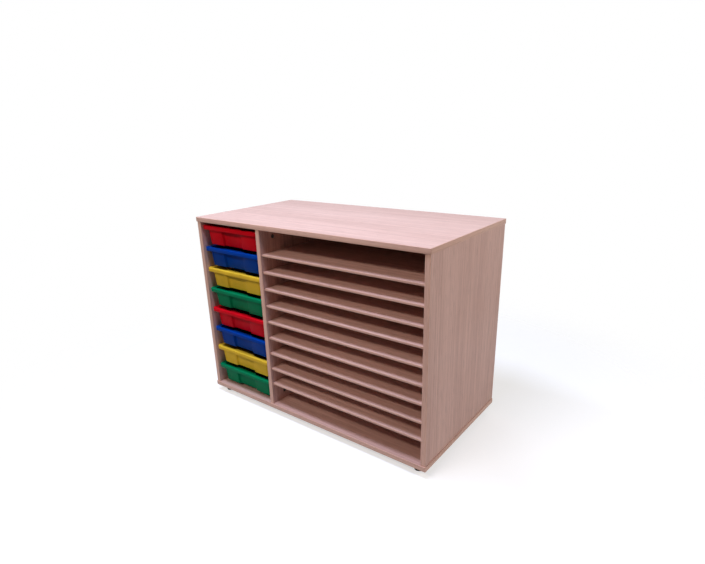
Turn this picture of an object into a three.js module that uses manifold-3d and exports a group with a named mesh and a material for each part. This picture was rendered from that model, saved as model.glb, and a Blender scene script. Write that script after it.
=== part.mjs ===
// Classroom storage unit: a board carcass with a bay of sliding trays and a bay of paper shelves.
// Millimetres, +Z up, front towards -Y. The origin is on the floor, below the middle of the unit.

import * as THREE from 'three';
import { mergeVertices } from 'three/addons/utils/BufferGeometryUtils.js';
import Module from 'manifold-3d';

const wasm = await Module();
wasm.setup();

// Carcass
const unitWidth = 1050;
const unitDepth = 540;
const boardThickness = 18;
const overhang = 3; // top and base past the uprights, at the front and at both sides
const slabCorner = 3; // plan radius at the corners of the top and base
const arrisRadius = 1.5; // rounding along the board edges
const fitGap = 0.3; // between a piece and the seat or cut that holds it

// Back panel, let into a groove all round
const backThickness = 6;
const backInset = 10;
const backGrooveDepth = 6;

// Trays
const trayCount = 8;
const trayDepth = 427;
const trayHeight = 75;
const trayGap = 11; // clear height below each tray
const trayTopGap = 15; // clear height above the top tray
const traySideGap = 1.5; // between the tray rim and each upright
const traySetback = 6; // rim front behind the front of the uprights
const trayBodyWidth = 284; // outside width of the tray body, just below the rim
const traySideFlange = 14; // rim past the body, at each side
const trayFlange = 11; // rim past the body, at the front and at the back
const trayCorner = 14;
const trayWall = 2.5;
const trayFloor = 2.5;
const trayDraft = 0.07; // how far each wall leans in, per unit of depth
const rimCorner = 12;
const rimThickness = 3;
const rimRound = 1.2;
const lipHeight = 14;
const lipThickness = 3;
const lipWrap = 16; // how far the front lip turns along the sides
const gripWidth = 105; // recess in the middle of the tray front
const gripDepth = 8.5;
const gripSlope = 4;
const railDrop = 23; // label rail below the rim
const railHeight = 2;
const railDepth = 1.6;

// Runners, one each side under every tray rim
const runnerLedgeThickness = 2.5;
const runnerWebThickness = 2.5;
const runnerWebHeight = 10.5;
const runnerStopGap = 0.5; // between the front lip and the runner end that stops it
const runnerBackInset = 10;
const pegRadius = 2.5;
const pegLength = 8;
const pegInset = 90; // from each end of the runner

// Paper shelves
const shelfCount = 9;
const shelfThickness = 8;
const shelfSetback = 7;
const topCompartment = 90;
const bottomCompartment = 84;
const housingDepth = 5;
const shelfRound = 1;

// Feet and their screws
const footHeight = 25;
const footRadius = 16;
const footTopRadius = 13;
const footRound = 1;
const footSideInset = 45; // foot centre from the sides of the base
const footEndInset = 38; // foot centre from its front and back
const footRecessRadius = 6;
const footRecessDepth = 5;
const screwRadius = 2;
const screwHeadRadius = 4.5;
const screwHeadHeight = 3;
const screwHeadFlat = 3; // radius of the flat on the screw head
const screwPoint = 4; // length of the screw's tapered tip
const screwGrip = 13; // length held in the base

// Cam fittings, each a cam and the bolt that it clamps
const camRadius = 7.5;
const camLength = 12.5;
const camDistance = 34; // cam centre from the end of its upright
const camInset = 67; // cam centre from the front or back of the uprights
const camSlotWidth = 1.8;
const camSlotLength = 9;
const camSlotDepth = 2;
const boltRadius = 3.2;
const threadRadius = 2.5;
const threadLength = 11;

// How finely round shapes are divided
const cornerSegments = 3;
const arrisSegments = 2;
const camSides = 20;
const boltSides = 10;
const pegSides = 8;
const footSides = 16;
const cutMargin = 1; // cutters run this far past the faces that they open

// Heights, from the floor up
const innerHeight = trayCount * (trayHeight + trayGap) + trayTopGap;
const baseBottom = footHeight + fitGap;
const baseTop = baseBottom + boardThickness;
const topBottom = baseTop + innerHeight;
const topTop = topBottom + boardThickness;

// Depths, from the front back
const slabFront = -unitDepth / 2;
const slabBack = unitDepth / 2;
const uprightFront = slabFront + overhang;
const backFace = slabBack - backInset - backThickness;
const trayFront = uprightFront + traySetback;
const shelfFront = uprightFront + shelfSetback;
const runnerFront = trayFront + lipWrap + runnerStopGap;
const runnerBack = trayFront + trayDepth - runnerBackInset;

// Widths, from the left
const leftOuter = -unitWidth / 2 + overhang;
const leftInner = leftOuter + boardThickness;
const trayWidth = trayBodyWidth + 2 * traySideFlange;
const dividerLeft = leftInner + trayWidth + 2 * traySideGap;
const dividerRight = dividerLeft + boardThickness;
const rightOuter = unitWidth / 2 - overhang;
const rightInner = rightOuter - boardThickness;
const trayCentre = (leftInner + dividerLeft) / 2;
const runnerLedge = traySideGap + traySideFlange / 2; // reaches half way under the tray rim

const shelfPitch =
  (innerHeight - topCompartment - bottomCompartment - shelfThickness) / (shelfCount - 1);

const beech = { color: 0xd9b5a0, roughness: 0.55, metalness: 0 };
const hardboard = { color: 0x8a6a58, roughness: 0.8, metalness: 0 };
const runnerPlastic = { color: 0x6b5648, roughness: 0.5, metalness: 0 };
const blackPlastic = { color: 0x141414, roughness: 0.55, metalness: 0 };
const steel = { color: 0xb9bcc0, roughness: 0.35, metalness: 1 };
const zinc = { color: 0x8e8f92, roughness: 0.45, metalness: 1 };
const trayColours = {
  red: { color: 0xb8101e, roughness: 0.35, metalness: 0 },
  blue: { color: 0x0b3b8f, roughness: 0.35, metalness: 0 },
  yellow: { color: 0xc79a1e, roughness: 0.35, metalness: 0 },
  green: { color: 0x04704a, roughness: 0.35, metalness: 0 },
};

const unit = new THREE.Group();

// Closed solid of a geometry, once its shared vertices are merged.
function solidOf(geometry) {
  const bare = geometry.clone();
  bare.deleteAttribute('normal');
  bare.deleteAttribute('uv');
  const merged = mergeVertices(bare);
  const mesh = new wasm.Mesh({
    numProp: 3,
    vertProperties: new Float32Array(merged.attributes.position.array),
    triVerts: new Uint32Array(merged.index.array),
  });
  return new wasm.Manifold(mesh);
}

function geometryOf(solid) {
  const mesh = solid.getMesh();
  const geometry = new THREE.BufferGeometry();
  geometry.setAttribute('position', new THREE.BufferAttribute(mesh.vertProperties, 3));
  geometry.setIndex(new THREE.BufferAttribute(mesh.triVerts, 1));
  geometry.computeVertexNormals();
  return geometry;
}

function cut(body, cutters) {
  return cutters.reduce((rest, cutter) => rest.subtract(cutter), body);
}

// Adds a named piece, with a material of its own.
function addPiece(name, geometry, finish, place = new THREE.Vector3(), turn = new THREE.Euler()) {
  const mesh = new THREE.Mesh(geometry, new THREE.MeshStandardMaterial(finish));
  mesh.name = name;
  mesh.position.copy(place);
  mesh.rotation.copy(turn);
  unit.add(mesh);
}

function boxBetween(x0, x1, y0, y1, z0, z1) {
  const box = new THREE.BoxGeometry(x1 - x0, y1 - y0, z1 - z0);
  return box.translate((x0 + x1) / 2, (y0 + y1) / 2, (z0 + z1) / 2);
}

// Round rod between two points that lie along X or along Z.
function rod(radius, sides, from, to) {
  const run = to.clone().sub(from);
  const length = run.length();
  const lean = new THREE.Quaternion().setFromUnitVectors(new THREE.Vector3(0, 1, 0), run.normalize());
  const middle = from.clone().add(to).multiplyScalar(0.5);
  return new THREE.CylinderGeometry(radius, radius, length, sides)
    .applyQuaternion(lean)
    .translate(middle.x, middle.y, middle.z);
}

// Rectangle with its four corners rounded.
function roundedRectangle(x0, x1, y0, y1, radius) {
  const shape = new THREE.Shape();
  shape.moveTo(x0 + radius, y0);
  shape.lineTo(x1 - radius, y0);
  shape.absarc(x1 - radius, y0 + radius, radius, -Math.PI / 2, 0);
  shape.lineTo(x1, y1 - radius);
  shape.absarc(x1 - radius, y1 - radius, radius, 0, Math.PI / 2);
  shape.lineTo(x0 + radius, y1);
  shape.absarc(x0 + radius, y1 - radius, radius, Math.PI / 2, Math.PI);
  shape.lineTo(x0, y0 + radius);
  shape.absarc(x0 + radius, y0 + radius, radius, Math.PI, Math.PI * 1.5);
  return shape;
}

// Rectangle whose two corners on the low Y side are rounded.
function frontRoundedRectangle(x0, x1, y0, y1, radius) {
  const shape = new THREE.Shape();
  shape.moveTo(x0 + radius, y0);
  shape.lineTo(x1 - radius, y0);
  shape.absarc(x1 - radius, y0 + radius, radius, -Math.PI / 2, 0);
  shape.lineTo(x1, y1);
  shape.lineTo(x0, y1);
  shape.lineTo(x0, y0 + radius);
  shape.absarc(x0 + radius, y0 + radius, radius, Math.PI, Math.PI * 1.5);
  return shape;
}

function extrude(shape, z0, z1, segments, bevel = 0) {
  const geometry = new THREE.ExtrudeGeometry(shape, {
    depth: z1 - z0 - 2 * bevel,
    curveSegments: segments,
    bevelEnabled: bevel > 0,
    bevelThickness: bevel,
    bevelSize: bevel,
    bevelOffset: -bevel,
    bevelSegments: arrisSegments,
  });
  return geometry.translate(0, 0, z0 + bevel);
}

// Cam fittings

// One fitting at the origin: the cam faces +X with its face at x = 0, and the bolt rises along +Z.
const camMid = -boardThickness / 2;
const boltEnd = camDistance + threadLength;

function fittingSolid() {
  const camBack = new THREE.Vector3(-camLength, 0, 0);
  const camFace = new THREE.Vector3(-fitGap, 0, 0);
  const cam = solidOf(rod(camRadius, camSides, camBack, camFace));
  const boltLow = new THREE.Vector3(camMid, 0, 0);
  const boltHigh = new THREE.Vector3(camMid, 0, camDistance - fitGap);
  const shank = solidOf(rod(boltRadius, boltSides, boltLow, boltHigh));
  const threadHigh = new THREE.Vector3(camMid, 0, boltEnd);
  const thread = solidOf(rod(threadRadius, boltSides, boltLow, threadHigh));
  const slotFloor = -fitGap - camSlotDepth;
  const slotHalf = camSlotWidth / 2;
  const slotReach = camSlotLength / 2;
  const across = boxBetween(slotFloor, cutMargin, -slotReach, slotReach, -slotHalf, slotHalf);
  const upright = boxBetween(slotFloor, cutMargin, -slotHalf, slotHalf, -slotReach, slotReach);
  return cam.subtract(solidOf(across)).subtract(solidOf(upright)).add(shank).add(thread);
}

// The holes that one fitting needs, in the same place.
function fittingBore() {
  const camBack = new THREE.Vector3(-camLength - fitGap, 0, 0);
  const camFace = new THREE.Vector3(cutMargin, 0, 0);
  const cam = solidOf(rod(camRadius + fitGap, camSides, camBack, camFace));
  const boltLow = new THREE.Vector3(camMid, 0, 0);
  const boltHigh = new THREE.Vector3(camMid, 0, camDistance);
  const shank = solidOf(rod(boltRadius + fitGap, boltSides, boltLow, boltHigh));
  const threadHigh = new THREE.Vector3(camMid, 0, boltEnd + fitGap);
  const thread = solidOf(rod(threadRadius + fitGap, boltSides, boltLow, threadHigh));
  return cam.add(shank).add(thread);
}

const uprightFaces = {
  left: { x: leftInner, turned: false },
  divider: { x: dividerRight, turned: false },
  right: { x: rightInner, turned: true },
};
const fittingRows = { front: uprightFront + camInset, back: slabBack - camInset };
const fittingEnds = {
  top: { z: topBottom - camDistance, upsideDown: false },
  base: { z: baseTop + camDistance, upsideDown: true },
};

// A fitting turned towards -X turns about Z, one at the base about X, and one that is both about Y.
function fittingTurn(turned, upsideDown) {
  if (turned && upsideDown) {
    return new THREE.Euler(0, Math.PI, 0);
  }
  return new THREE.Euler(upsideDown ? Math.PI : 0, 0, turned ? Math.PI : 0);
}

const fittings = [];
for (const [upright, face] of Object.entries(uprightFaces)) {
  for (const [end, height] of Object.entries(fittingEnds)) {
    for (const [row, y] of Object.entries(fittingRows)) {
      fittings.push({
        name: `cam_fitting_${upright}_${end}_${row}`,
        place: new THREE.Vector3(face.x, y, height.z),
        turn: fittingTurn(face.turned, height.upsideDown),
      });
    }
  }
}

const fittingGeometry = geometryOf(fittingSolid());
const boreGeometry = geometryOf(fittingBore());
const fittingBores = fittings.map(({ place, turn }) => {
  const stand = new THREE.Matrix4().makeRotationFromEuler(turn).setPosition(place);
  return solidOf(boreGeometry.clone().applyMatrix4(stand));
});
for (const { name, place, turn } of fittings) {
  addPiece(name, fittingGeometry, zinc, place, turn);
}

// Back panel and its grooves

const backLeft = leftInner - backGrooveDepth + fitGap;
const backRight = rightInner + backGrooveDepth - fitGap;
const backLow = baseTop - backGrooveDepth + fitGap;
const backHigh = topBottom + backGrooveDepth - fitGap;
const backPanel = boxBetween(backLeft, backRight, backFace, backFace + backThickness, backLow, backHigh);
addPiece('back_panel', backPanel, hardboard);

const backGroove = solidOf(boxBetween(
  backLeft - fitGap,
  backRight + fitGap,
  backFace - fitGap,
  backFace + backThickness + fitGap,
  backLow - fitGap,
  backHigh + fitGap,
));

// Trays and runners

const trayHeights = [];
for (let level = 0; level < trayCount; level += 1) {
  trayHeights.push(topBottom - trayTopGap - level * (trayHeight + trayGap));
}
const trayColourNames = Object.keys(trayColours);

// Plan outline of the tray body at the height of the rim, moved in by the given inset.
function trayOutline(inset) {
  const half = trayBodyWidth / 2 - inset;
  const front = trayFlange + inset;
  const back = trayDepth - trayFlange - inset;
  const radius = trayCorner - inset;
  const slopeLength = Math.hypot(gripSlope, gripDepth);
  const gripHalf = gripWidth / 2 + inset * (slopeLength - gripSlope) / gripDepth;
  const shape = new THREE.Shape();
  shape.moveTo(-half + radius, front);
  shape.lineTo(-gripHalf - gripSlope, front);
  shape.lineTo(-gripHalf, front + gripDepth);
  shape.lineTo(gripHalf, front + gripDepth);
  shape.lineTo(gripHalf + gripSlope, front);
  shape.lineTo(half - radius, front);
  shape.absarc(half - radius, front + radius, radius, -Math.PI / 2, 0);
  shape.lineTo(half, back - radius);
  shape.absarc(half - radius, back - radius, radius, 0, Math.PI / 2);
  shape.lineTo(-half + radius, back);
  shape.absarc(-half + radius, back - radius, radius, Math.PI / 2, Math.PI);
  shape.lineTo(-half, front + radius);
  shape.absarc(-half + radius, front + radius, radius, Math.PI, Math.PI * 1.5);
  return shape;
}

// Leans the walls of an extruded outline in, towards the middle of the tray, below z = 0.
function lean(geometry) {
  const points = geometry.attributes.position;
  for (let i = 0; i < points.count; i += 1) {
    const shift = -points.getZ(i) * trayDraft;
    const toMiddle = trayDepth / 2 - points.getY(i);
    points.setX(i, points.getX(i) - Math.sign(points.getX(i)) * shift);
    points.setY(i, points.getY(i) + Math.sign(toMiddle) * shift);
  }
  return geometry;
}

// One tray: rim front at y = 0, rim top at z = 0, centred on x = 0.
function traySolid() {
  const half = trayWidth / 2;
  const rimOutline = roundedRectangle(-half, half, 0, trayDepth, rimCorner);
  const rim = solidOf(extrude(rimOutline, -lipHeight, 0, cornerSegments, rimRound));
  const underRim = solidOf(extrude(
    roundedRectangle(
      -half + lipThickness,
      half - lipThickness,
      lipThickness,
      trayDepth + cutMargin,
      rimCorner - lipThickness,
    ),
    -lipHeight - cutMargin,
    -rimThickness,
    cornerSegments,
  ));
  const behindLip = solidOf(boxBetween(
    -half - cutMargin,
    half + cutMargin,
    lipWrap,
    trayDepth + cutMargin,
    -lipHeight - cutMargin,
    -rimThickness,
  ));
  const bodyShell = extrude(trayOutline(0), -trayHeight, -rimThickness / 2, cornerSegments);
  const body = solidOf(lean(bodyShell));
  const hollow = extrude(trayOutline(trayWall), trayFloor - trayHeight, cutMargin, cornerSegments);
  const cavity = solidOf(lean(hollow));
  const railFace = trayFlange + gripDepth + railDrop * trayDraft;
  const rail = solidOf(boxBetween(
    -gripWidth / 2 + railDrop * trayDraft,
    gripWidth / 2 - railDrop * trayDraft,
    railFace - railDepth,
    railFace + trayWall / 2,
    -railDrop - railHeight,
    -railDrop,
  ));
  return cut(rim, [underRim, behindLip]).add(body).add(rail).subtract(cavity);
}

const trayGeometry = geometryOf(traySolid());
trayHeights.forEach((height, level) => {
  const colour = trayColourNames[level % trayColourNames.length];
  const place = new THREE.Vector3(trayCentre, trayFront, height);
  addPiece(`tray_${level + 1}_${colour}`, trayGeometry, trayColours[colour], place);
});

// Left-hand runner: fixed face at x = 0, front end at y = 0, top of its ledge at z = 0.
const runnerLength = runnerBack - runnerFront;
const pegRows = [pegInset, runnerLength - pegInset];
const pegHeight = -runnerWebHeight / 2;

function pegRod(radius, y, reach) {
  const tip = new THREE.Vector3(-reach, y, pegHeight);
  const root = new THREE.Vector3(runnerWebThickness / 2, y, pegHeight);
  return solidOf(rod(radius, pegSides, tip, root));
}

function runnerSolid() {
  const ledge = boxBetween(0, runnerLedge, 0, runnerLength, -runnerLedgeThickness, 0);
  const web = boxBetween(0, runnerWebThickness, 0, runnerLength, -runnerWebHeight, 0);
  const strip = solidOf(ledge).add(solidOf(web));
  return pegRows.reduce((runner, y) => runner.add(pegRod(pegRadius, y, pegLength)), strip);
}

const runnerGeometry = geometryOf(runnerSolid());
const pegHoles = pegRows.map((y) => geometryOf(pegRod(pegRadius + fitGap, y, pegLength + fitGap)));
const leftPegHoles = [];
const dividerPegHoles = [];
const halfTurn = new THREE.Euler(0, 0, Math.PI);

trayHeights.forEach((height, level) => {
  const ledgeTop = height - rimThickness - fitGap;
  const leftPlace = new THREE.Vector3(leftInner + fitGap, runnerFront, ledgeTop);
  const rightPlace = new THREE.Vector3(dividerLeft - fitGap, runnerBack, ledgeTop);
  addPiece(`runner_left_${level + 1}`, runnerGeometry, runnerPlastic, leftPlace);
  addPiece(`runner_right_${level + 1}`, runnerGeometry, runnerPlastic, rightPlace, halfTurn);
  for (const hole of pegHoles) {
    const leftStand = new THREE.Matrix4().setPosition(leftPlace);
    const rightStand = new THREE.Matrix4().makeRotationFromEuler(halfTurn).setPosition(rightPlace);
    leftPegHoles.push(solidOf(hole.clone().applyMatrix4(leftStand)));
    dividerPegHoles.push(solidOf(hole.clone().applyMatrix4(rightStand)));
  }
});

// Paper shelves, held in housings of the divider and the right side

const shelfLeft = dividerRight - housingDepth + fitGap;
const shelfRight = rightInner + housingDepth - fitGap;
const shelfBack = backFace - fitGap;
const alongX = new THREE.Matrix4().makeBasis(
  new THREE.Vector3(0, 1, 0),
  new THREE.Vector3(0, 0, 1),
  new THREE.Vector3(1, 0, 0),
);

// Board profile in Y and Z with a rounded front, drawn out along X.
function shelfGeometry(bottom) {
  const shape = new THREE.Shape();
  const top = bottom + shelfThickness;
  shape.moveTo(shelfBack, bottom);
  shape.lineTo(shelfBack, top);
  shape.lineTo(shelfFront + shelfRound, top);
  shape.absarc(shelfFront + shelfRound, top - shelfRound, shelfRound, Math.PI / 2, Math.PI);
  shape.lineTo(shelfFront, bottom + shelfRound);
  shape.absarc(shelfFront + shelfRound, bottom + shelfRound, shelfRound, Math.PI, Math.PI * 1.5);
  return extrude(shape, shelfLeft, shelfRight, arrisSegments).applyMatrix4(alongX);
}

const housings = [];
for (let level = 0; level < shelfCount; level += 1) {
  const bottom = topBottom - topCompartment - shelfThickness - level * shelfPitch;
  addPiece(`shelf_${level + 1}`, shelfGeometry(bottom), beech);
  housings.push(solidOf(boxBetween(
    shelfLeft - fitGap,
    shelfRight + fitGap,
    shelfFront - fitGap,
    shelfBack + fitGap,
    bottom - fitGap,
    bottom + shelfThickness + fitGap,
  )));
}

// Uprights

function uprightSolid(x0, x1, back) {
  const outline = frontRoundedRectangle(x0, x1, uprightFront, back, arrisRadius);
  return solidOf(extrude(outline, baseTop + fitGap, topBottom - fitGap, arrisSegments));
}

const leftSide = cut(uprightSolid(leftOuter, leftInner, slabBack), [
  backGroove,
  ...fittingBores,
  ...leftPegHoles,
]);
const divider = cut(uprightSolid(dividerLeft, dividerRight, backFace - fitGap), [
  ...fittingBores,
  ...dividerPegHoles,
  ...housings,
]);
const rightSide = cut(uprightSolid(rightInner, rightOuter, slabBack), [
  backGroove,
  ...fittingBores,
  ...housings,
]);
addPiece('left_side_panel', geometryOf(leftSide), beech);
addPiece('divider_panel', geometryOf(divider), beech);
addPiece('right_side_panel', geometryOf(rightSide), beech);

// Feet, screwed up into the base

const footSpots = {
  front_left: [-unitWidth / 2 + footSideInset, slabFront + footEndInset],
  front_right: [unitWidth / 2 - footSideInset, slabFront + footEndInset],
  back_left: [-unitWidth / 2 + footSideInset, slabBack - footEndInset],
  back_right: [unitWidth / 2 - footSideInset, slabBack - footEndInset],
};

// Turned about the Z axis from a profile of [radius, height] points.
function turnedAboutZ(profile, sides) {
  const points = profile.map(([radius, height]) => new THREE.Vector2(radius, height));
  return new THREE.LatheGeometry(points, sides).rotateX(Math.PI / 2);
}

const screwHole = screwRadius + fitGap;
const footGeometry = turnedAboutZ([
  [footRecessRadius, 0],
  [footRadius - footRound, 0],
  [footRadius, footRound],
  [footTopRadius, footHeight],
  [screwHole, footHeight],
  [screwHole, footRecessDepth],
  [footRecessRadius, footRecessDepth],
  [footRecessRadius, 0],
], footSides);

const screwSeat = footRecessDepth - fitGap;
const screwTip = baseBottom + screwGrip;
const screwGeometry = turnedAboutZ([
  [0, screwSeat - screwHeadHeight],
  [screwHeadFlat, screwSeat - screwHeadHeight],
  [screwHeadRadius, screwSeat - screwHeadHeight / 2],
  [screwHeadRadius, screwSeat],
  [screwRadius, screwSeat],
  [screwRadius, screwTip - screwPoint],
  [0, screwTip],
], boltSides);

const screwHoles = [];
for (const [spot, [x, y]] of Object.entries(footSpots)) {
  const place = new THREE.Vector3(x, y, 0);
  addPiece(`foot_${spot}`, footGeometry, blackPlastic, place);
  addPiece(`foot_screw_${spot}`, screwGeometry, steel, place);
  const low = new THREE.Vector3(x, y, baseBottom - cutMargin);
  const high = new THREE.Vector3(x, y, screwTip + fitGap);
  screwHoles.push(solidOf(rod(screwHole, boltSides, low, high)));
}

// Top and base

function slabSolid(z0, z1) {
  const half = unitWidth / 2;
  const outline = roundedRectangle(-half, half, slabFront, slabBack, slabCorner);
  return solidOf(extrude(outline, z0, z1, arrisSegments, arrisRadius));
}

const top = cut(slabSolid(topBottom, topTop), [backGroove, ...fittingBores]);
const base = cut(slabSolid(baseBottom, baseTop), [backGroove, ...fittingBores, ...screwHoles]);
addPiece('top_panel', geometryOf(top), beech);
addPiece('base_panel', geometryOf(base), beech);

export default unit;
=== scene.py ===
"""Looks of the classroom tray storage unit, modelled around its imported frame, in metres."""

import logging
import math
from collections.abc import Callable, Iterator, Sequence
from contextlib import contextmanager
from dataclasses import dataclass, replace
from enum import Enum

import bmesh
import bpy
from mathutils import Matrix, Vector


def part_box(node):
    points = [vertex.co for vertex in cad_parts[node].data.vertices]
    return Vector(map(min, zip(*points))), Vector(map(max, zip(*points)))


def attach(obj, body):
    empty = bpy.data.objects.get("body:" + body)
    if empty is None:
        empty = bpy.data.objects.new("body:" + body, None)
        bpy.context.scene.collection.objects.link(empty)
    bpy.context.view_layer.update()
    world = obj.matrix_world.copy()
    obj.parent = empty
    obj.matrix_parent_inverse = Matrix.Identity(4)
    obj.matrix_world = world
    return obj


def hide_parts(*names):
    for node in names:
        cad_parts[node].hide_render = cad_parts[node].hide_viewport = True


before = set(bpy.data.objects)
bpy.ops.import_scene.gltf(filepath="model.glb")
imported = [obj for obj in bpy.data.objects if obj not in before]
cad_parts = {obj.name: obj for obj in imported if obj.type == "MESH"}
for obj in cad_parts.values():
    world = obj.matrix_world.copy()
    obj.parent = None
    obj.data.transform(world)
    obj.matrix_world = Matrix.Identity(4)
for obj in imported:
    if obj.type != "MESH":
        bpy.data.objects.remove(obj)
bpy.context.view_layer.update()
log = logging.getLogger("tray_unit")

CARCASS = "carcass"
BOARD = "board"
WHITE = (1.0, 1.0, 1.0, 1.0)
BLACK = (0.0, 0.0, 0.0, 1.0)
FIT_GAP = 0.0003  # room left round a piece in its seat
NEAR = 0.00001  # places closer than this count as one
FACING = 0.9  # least part of a unit vector along the axis that it follows
ACROSS = 0.1  # largest part of a unit vector along an axis that it crosses
NOISE_MEAN = 0.5  # what a noise pattern averages

Element = bmesh.types.BMVert | bmesh.types.BMEdge | bmesh.types.BMFace
Test = Callable[[Vector, Vector], bool]
Span = tuple[float, float]


# Shader writing


class Wire:
    """One output of a shader node. Arithmetic on it adds Math nodes."""

    def __init__(self, paint: "Paint", socket: bpy.types.NodeSocket) -> None:
        """Keeps the output and the paint that it belongs to."""
        self.paint = paint
        self.socket = socket

    def _math(self, operation: str, first: "Wire | float", second: "Wire | float") -> "Wire":
        """Adds one Math node."""
        return self.paint.node("ShaderNodeMath", {"operation": operation}, {0: first, 1: second})

    def __add__(self, other: "Wire | float") -> "Wire":
        """Sum."""
        return self._math("ADD", self, other)

    def __radd__(self, other: float) -> "Wire":
        """Sum, with a number on the left."""
        return self._math("ADD", other, self)

    def __sub__(self, other: "Wire | float") -> "Wire":
        """Difference."""
        return self._math("SUBTRACT", self, other)

    def __rsub__(self, other: float) -> "Wire":
        """Difference, with a number on the left."""
        return self._math("SUBTRACT", other, self)

    def __mul__(self, other: "Wire | float") -> "Wire":
        """Product."""
        return self._math("MULTIPLY", self, other)

    def __rmul__(self, other: float) -> "Wire":
        """Product, with a number on the left."""
        return self._math("MULTIPLY", other, self)


@dataclass(frozen=True)
class Pattern:
    """A cloudy noise: features in a metre, finer layers and their strength, and its scale along a grain."""

    scale: float
    detail: float = 2
    roughness: float = 0.5
    along: float = 1.0


class Paint:
    """The shader nodes of a material or of the world."""

    def __init__(self, owner: bpy.types.Material | bpy.types.World, shader: str) -> None:
        """Turns on the owner's nodes, and keeps the shader among them that is fed.

        Args:
            owner: The material or the world.
            shader: The name of its shader node.
        """
        owner.use_nodes = True
        self.tree = owner.node_tree
        self.shader = self.tree.nodes[shader]

    @staticmethod
    def fresh(name: str) -> tuple[bpy.types.Material, "Paint"]:
        """A new material of that name, and the paint for it."""
        material = bpy.data.materials.new(name)
        return material, Paint(material, "Principled BSDF")

    def feed(self, socket: bpy.types.NodeSocket, value: object) -> None:
        """Links a wire to a socket, or sets the socket to a constant.

        Args:
            socket: The input that is fed.
            value: A wire or a constant.
        """
        if isinstance(value, Wire):
            self.tree.links.new(value.socket, socket)
        else:
            socket.default_value = value

    def node(
        self,
        kind: str,
        settings: dict[str, object] | None = None,
        inputs: dict[int | str, object] | None = None,
        output: int | str = 0,
    ) -> Wire:
        """Adds a node.

        Args:
            kind: The node's type.
            settings: Its own settings, set before its sockets.
            inputs: A wire or a constant for each socket named.
            output: The output that is wanted.

        Returns:
            The wire of that output.
        """
        made = self.tree.nodes.new(kind)
        for name, value in (settings or {}).items():
            setattr(made, name, value)
        for key, value in (inputs or {}).items():
            self.feed(made.inputs[key], value)
        return Wire(self, made.outputs[output])

    def place(self, stretch: Sequence[float] = (1, 1, 1)) -> Wire:
        """Object coordinates, scaled by stretch."""
        where = self.node("ShaderNodeTexCoord", output="Object")
        return self.node("ShaderNodeMapping", {}, {"Vector": where, "Scale": stretch})

    def part(self, vector: Wire, axis: str) -> Wire:
        """The X, Y or Z part of a vector."""
        return self.node("ShaderNodeSeparateXYZ", {}, {0: vector}, axis)

    def noise(self, place: Wire, pattern: Pattern) -> Wire:
        """Draws a noise pattern.

        Args:
            place: The coordinates that it lies on.
            pattern: What it looks like.

        Returns:
            Its value, from 0 to 1.
        """
        sockets = {
            "Vector": place,
            "Scale": pattern.scale,
            "Detail": pattern.detail,
            "Roughness": pattern.roughness,
        }
        return self.node("ShaderNodeTexNoise", {}, sockets)

    def ease(self, value: Wire, low: float, high: float) -> Wire:
        """Rises smoothly from 0 to 1 as the value goes from low to high."""
        sockets = {"Value": value, "From Min": low, "From Max": high}
        return self.node("ShaderNodeMapRange", {"interpolation_type": "SMOOTHSTEP"}, sockets)

    def mix(self, share: Wire | float, first: object, second: object) -> Wire:
        """Colour between first, at a share of 0, and second, at 1."""
        return self.node("ShaderNodeMix", {"data_type": "RGBA"}, {0: share, 6: first, 7: second}, 2)

    def bump(self, height: Wire, distance: float, strength: float) -> Wire:
        """Surface normal that a height from 0 to 1 gives, over that distance."""
        sockets = {"Height": height, "Distance": distance, "Strength": strength}
        return self.node("ShaderNodeBump", {}, sockets)

    def finish(self, **sockets: object) -> None:
        """Feeds the shader's sockets, which are named with underscores for spaces."""
        for name, value in sockets.items():
            self.feed(self.shader.inputs[name.replace("_", " ")], value)


# Finishes


@dataclass(frozen=True)
class Colour:
    """A colour as it looks on a screen, each part from 0 to 255."""

    red: int
    green: int
    blue: int

    def linear(self) -> tuple[float, float, float, float]:
        """The colour as light, as shader sockets take it."""
        return (*(self._light(part / 255) for part in (self.red, self.green, self.blue)), 1.0)

    @staticmethod
    def _light(part: float) -> float:
        """One part of the colour, turned from screen value to light by the sRGB curve."""
        return part / 12.92 if part <= 0.04045 else ((part + 0.055) / 1.055) ** 2.4


class Grain(Enum):
    """The axes that a board's printed grain runs along."""

    ALONG_X = (1, 0, 0)
    UPRIGHT = (0, 0, 1)
    LEVEL_EDGE = (1, 1, 0)

    def stretch(self, along: float) -> tuple[float, ...]:
        """Coordinate scale that draws a pattern out to 1 / along on the grain's axes."""
        return tuple(along if runs else 1.0 for runs in self.value)


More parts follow.
